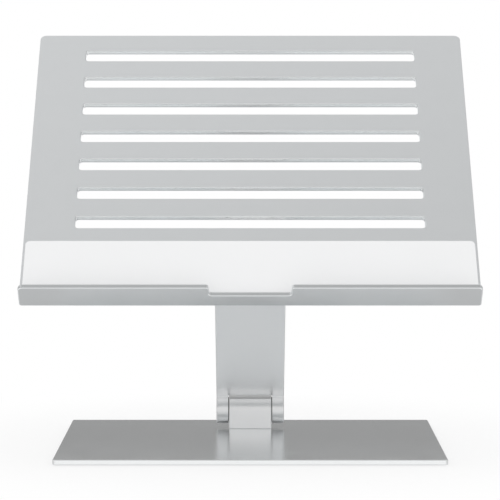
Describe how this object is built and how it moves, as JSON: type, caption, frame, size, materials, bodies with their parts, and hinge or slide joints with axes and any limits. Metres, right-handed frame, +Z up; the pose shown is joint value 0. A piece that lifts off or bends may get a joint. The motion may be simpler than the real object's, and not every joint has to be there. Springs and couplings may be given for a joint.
{
  "type": "adjustable laptop stand",
  "caption": "Desk stand with a flat base, one leaning arm on friction hinges and a slotted, tilting tray with a front lip and a silicone pad.",
  "frame": {"origin": "on the desk, at the middle of the mat's underside", "axes": "+X along the tray's width to the user's right, +Y away from the user, +Z up from the desk"},
  "size_m": [0.28, 0.1774, 0.2625],
  "materials": {
    "silver_anodised": "satin bead-blasted",
    "white_silicone": "matte",
    "grey_silicone": "matte",
    "zinc_steel": "zinc plated",
    "spring_steel": "oiled",
    "bearing_bronze": "sintered",
    "nylon": "matte"
  },
  "bodies": {
    "base": {"base_plate": "silver_anodised", "base_mat": "grey_silicone", "base_hinge_block": "silver_anodised", "base_hinge_screws": "zinc_steel", "base_bush_left": "bearing_bronze", "base_bush_right": "bearing_bronze"},
    "arm": {"arm": "silver_anodised", "lower_hinge_pin": "zinc_steel", "lower_friction_washer_left": "nylon", "lower_friction_washer_right": "nylon", "lower_disc_springs": "spring_steel", "lower_lock_nut": "zinc_steel", "lower_cap_left": "silver_anodised", "lower_cap_right": "silver_anodised", "upper_hinge_pin": "zinc_steel", "upper_friction_washer_left": "nylon", "upper_friction_washer_right": "nylon", "upper_disc_springs": "spring_steel", "upper_lock_nut": "zinc_steel", "upper_cap_left": "silver_anodised", "upper_cap_right": "silver_anodised"},
    "tray": {"tray": "silver_anodised", "front_pad": "white_silicone", "tray_hinge_block": "silver_anodised", "tray_hinge_screws": "zinc_steel", "tray_bush_left": "bearing_bronze", "tray_bush_right": "bearing_bronze"}
  },
  "joints": [
    {"name": "arm_tilt", "type": "hinge", "parent": "base", "child": "arm", "pos_m": [0, 0.05335, 0.0155], "axis": [1, 0, 0], "range_deg": [-46.5, 43.5]},
    {"name": "tray_tilt", "type": "hinge", "parent": "arm", "child": "tray", "pos_m": [0, -0.03904, 0.12109], "axis": [1, 0, 0], "range_deg": [-83.5, 18.5]}
  ]
}
